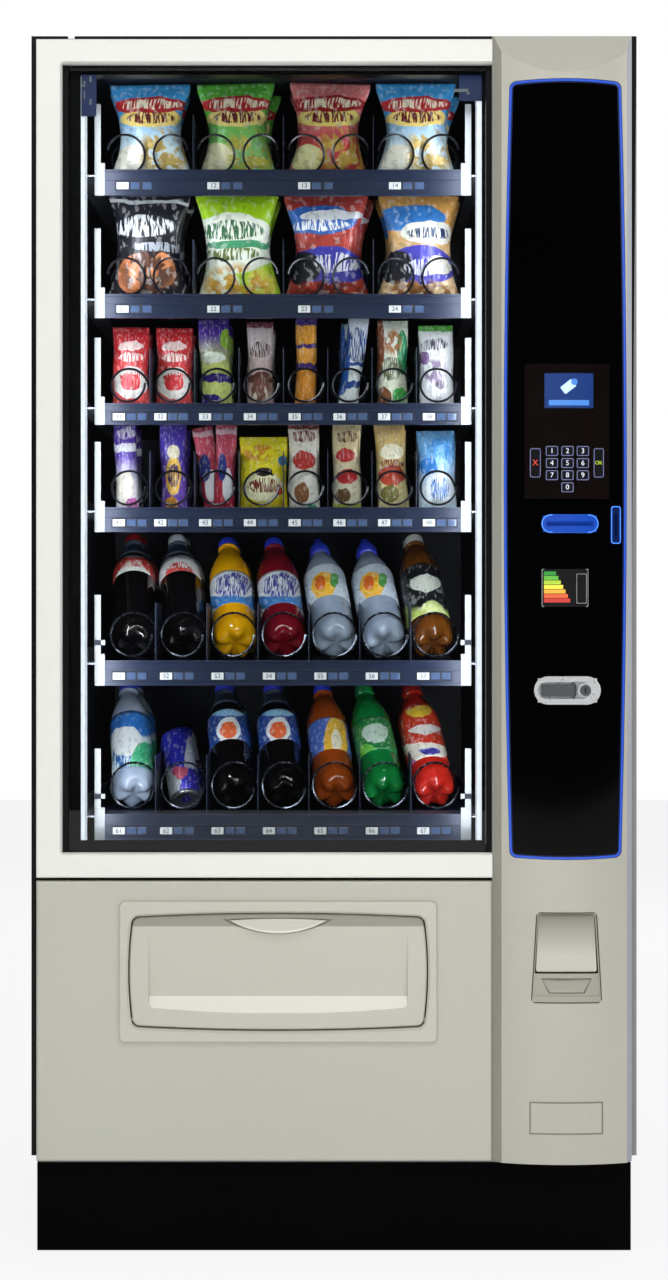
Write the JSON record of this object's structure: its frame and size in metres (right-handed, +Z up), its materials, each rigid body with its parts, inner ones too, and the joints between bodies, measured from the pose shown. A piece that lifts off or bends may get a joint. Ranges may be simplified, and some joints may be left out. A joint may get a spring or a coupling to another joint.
{
  "type": "snack vending machine",
  "caption": "Glass-fronted vending machine with spiral-coil trays, a hinged door, a tip-out delivery hatch and a curved payment column.",
  "frame": {"origin": "on the floor, at the centre of the machine's footprint", "axes": "+Z up, +X to the customer's right, the front faces -Y"},
  "size_m": [0.91, 0.89, 1.83],
  "materials": {
    "cabinet_steel": "powder coat, fine texture",
    "door_steel": "satin black powder coat",
    "plinth_black": "matt black",
    "zinc_steel": "zinc plated",
    "liner_navy": "satin navy black",
    "runner_steel": "galvanised",
    "cooling_parts": "mill finish",
    "fan_plastic": "moulded",
    "changer_plastic": "moulded",
    "frame_aluminium": "champagne anodised",
    "clear_glass": "clear",
    "panel_champagne": "satin champagne metallic",
    "cover_champagne": "satin champagne metallic",
    "fascia_black": "piano black",
    "light_blue": "lit blue light guide",
    "pad_black": "black print",
    "screen_blue": "lit display",
    "reader_blue": "lit translucent bezel",
    "lock_chrome": "polished",
    "lever_steel": "satin",
    "cup_plastic": "moulded champagne",
    "led_white": "lit opal diffuser",
    "key_plastic": "back-lit key",
    "tray_navy": "satin navy",
    "coil_wire": "black coated spring wire"
  },
  "bodies": {
    "cabinet": {"side_panel_left": "cabinet_steel", "side_panel_right": "cabinet_steel", "top_panel": "cabinet_steel", "back_panel": "cabinet_steel", "base_deck": "zinc_steel", "kick_plate": "plinth_black", "levelling_feet": "zinc_steel", "cabinet_liner": "liner_navy", "tray_runners": "runner_steel", "delivery_chute": "liner_navy", "cooling_unit": "cooling_parts", "coin_mechanism": "changer_plastic", "cabinet_hinges": "zinc_steel"},
    "door": {"door_shell": "door_steel", "door_hinges": "zinc_steel", "glass_frame": "frame_aluminium", "glass_pane": "clear_glass", "lower_panel": "panel_champagne", "column_cover": "cover_champagne", "fascia_panel": "fascia_black", "light_ring": "light_blue", "keypad_bezel": "pad_black", "display_screen": "screen_blue", "note_reader": "reader_blue", "coin_slot": "reader_blue", "lock_bezel": "lock_chrome", "coin_return_cup": "cup_plastic", "hatch_bezel": "cover_champagne", "led_strips": "led_white"},
    "cooling_fan": {"cooling_fan": "fan_plastic"},
    "baffle": {"baffle_flap": "liner_navy"},
    "delivery_flap": {"delivery_flap": "cover_champagne"},
    "coin_return_flap": {"coin_return_flap": "cup_plastic"},
    "lock_lever": {"lock_lever": "lever_steel"},
    "lock_plug": {"lock_plug": "lever_steel"},
    "key_1": {"key_1": "key_plastic"},
    "key_2": {"key_2": "key_plastic"},
    "key_3": {"key_3": "key_plastic"},
    "key_4": {"key_4": "key_plastic"},
    "key_5": {"key_5": "key_plastic"},
    "key_6": {"key_6": "key_plastic"},
    "key_7": {"key_7": "key_plastic"},
    "key_8": {"key_8": "key_plastic"},
    "key_9": {"key_9": "key_plastic"},
    "key_0": {"key_0": "key_plastic"},
    "key_cancel": {"key_cancel": "key_plastic"},
    "key_confirm": {"key_confirm": "key_plastic"},
    "tray_1": {"tray_1": "tray_navy", "coils_1": "coil_wire"},
    "tray_2": {"tray_2": "tray_navy", "coils_2": "coil_wire"},
    "tray_3": {"tray_3": "tray_navy", "coils_3": "coil_wire"},
    "tray_4": {"tray_4": "tray_navy", "coils_4": "coil_wire"},
    "tray_5": {"tray_5": "tray_navy", "coils_5": "coil_wire"},
    "tray_6": {"tray_6": "tray_navy", "coils_6": "coil_wire"},
    "drive_coil": {"drive_coil": "coil_wire"}
  },
  "joints": [
    {"name": "door_hinge", "type": "hinge", "parent": "cabinet", "child": "door", "pos_m": [-0.449, -0.3435, 0.985], "axis": [0, 0, -1], "range_deg": [0, 110]},
    {"name": "hatch_tip", "type": "hinge", "parent": "door", "child": "delivery_flap", "pos_m": [-0.0835, -0.4145, 0.353], "axis": [1, 0, 0], "range_deg": [0, 55], "stiffness_Nm_per_rad": 2, "springref_deg": -20.05},
    {"name": "baffle_swing", "type": "hinge", "parent": "cabinet", "child": "baffle", "pos_m": [-0.0835, -0.24, 0.55], "axis": [1, 0, 0], "range_deg": [-72, 2]},
    {"name": "coin_flap_swing", "type": "hinge", "parent": "door", "child": "coin_return_flap", "pos_m": [0.346, -0.4355, 0.511], "axis": [1, 0, 0], "range_deg": [0, 45]},
    {"name": "lock_lever_fold", "type": "hinge", "parent": "door", "child": "lock_lever", "pos_m": [0.357, -0.436, 0.847], "axis": [0, 0, 1], "range_deg": [0, 40]},
    {"name": "lock_plug_turn", "type": "hinge", "parent": "door", "child": "lock_plug", "pos_m": [0.374, -0.42, 0.847], "axis": [0, 1, 0], "range_deg": [0, 90]},
    {"name": "cooling_fan_spin", "type": "hinge", "parent": "cabinet", "child": "cooling_fan", "pos_m": [-0.22, -0.023, 0.32], "axis": [0, 1, 0], "continuous": true},
    {"name": "drive_coil_turn", "type": "hinge", "parent": "tray_3", "child": "drive_coil", "pos_m": [-0.18625, 0, 1.329], "axis": [0, 1, 0], "continuous": true},
    {"name": "key_1_press", "type": "slide", "parent": "door", "child": "key_1", "axis": [0, 1, 0], "range_m": [0, 0.001], "stiffness_N_per_m": 400, "springref_m": -0.0005},
    {"name": "key_2_press", "type": "slide", "parent": "door", "child": "key_2", "axis": [0, 1, 0], "range_m": [0, 0.001], "stiffness_N_per_m": 400, "springref_m": -0.0005},
    {"name": "key_3_press", "type": "slide", "parent": "door", "child": "key_3", "axis": [0, 1, 0], "range_m": [0, 0.001], "stiffness_N_per_m": 400, "springref_m": -0.0005},
    {"name": "key_4_press", "type": "slide", "parent": "door", "child": "key_4", "axis": [0, 1, 0], "range_m": [0, 0.001], "stiffness_N_per_m": 400, "springref_m": -0.0005},
    {"name": "key_5_press", "type": "slide", "parent": "door", "child": "key_5", "axis": [0, 1, 0], "range_m": [0, 0.001], "stiffness_N_per_m": 400, "springref_m": -0.0005},
    {"name": "key_6_press", "type": "slide", "parent": "door", "child": "key_6", "axis": [0, 1, 0], "range_m": [0, 0.001], "stiffness_N_per_m": 400, "springref_m": -0.0005},
    {"name": "key_7_press", "type": "slide", "parent": "door", "child": "key_7", "axis": [0, 1, 0], "range_m": [0, 0.001], "stiffness_N_per_m": 400, "springref_m": -0.0005},
    {"name": "key_8_press", "type": "slide", "parent": "door", "child": "key_8", "axis": [0, 1, 0], "range_m": [0, 0.001], "stiffness_N_per_m": 400, "springref_m": -0.0005},
    {"name": "key_9_press", "type": "slide", "parent": "door", "child": "key_9", "axis": [0, 1, 0], "range_m": [0, 0.001], "stiffness_N_per_m": 400, "springref_m": -0.0005},
    {"name": "key_0_press", "type": "slide", "parent": "door", "child": "key_0", "axis": [0, 1, 0], "range_m": [0, 0.001], "stiffness_N_per_m": 400, "springref_m": -0.0005},
    {"name": "key_cancel_press", "type": "slide", "parent": "door", "child": "key_cancel", "axis": [0, 1, 0], "range_m": [0, 0.001], "stiffness_N_per_m": 400, "springref_m": -0.0005},
    {"name": "key_confirm_press", "type": "slide", "parent": "door", "child": "key_confirm", "axis": [0, 1, 0], "range_m": [0, 0.001], "stiffness_N_per_m": 400, "springref_m": -0.0005},
    {"name": "tray_1_slide", "type": "slide", "parent": "cabinet", "child": "tray_1", "axis": [0, -1, 0], "range_m": [0, 0.08]},
    {"name": "tray_2_slide", "type": "slide", "parent": "cabinet", "child": "tray_2", "axis": [0, -1, 0], "range_m": [0, 0.08]},
    {"name": "tray_3_slide", "type": "slide", "parent": "cabinet", "child": "tray_3", "axis": [0, -1, 0], "range_m": [0, 0.08]},
    {"name": "tray_4_slide", "type": "slide", "parent": "cabinet", "child": "tray_4", "axis": [0, -1, 0], "range_m": [0, 0.08]},
    {"name": "tray_5_slide", "type": "slide", "parent": "cabinet", "child": "tray_5", "axis": [0, -1, 0], "range_m": [0, 0.08]},
    {"name": "tray_6_slide", "type": "slide", "parent": "cabinet", "child": "tray_6", "axis": [0, -1, 0], "range_m": [0, 0.08]}
  ],
  "couplings": [
    {"joint": "baffle_swing", "follows": "hatch_tip", "ratio": -1.27}
  ]
}
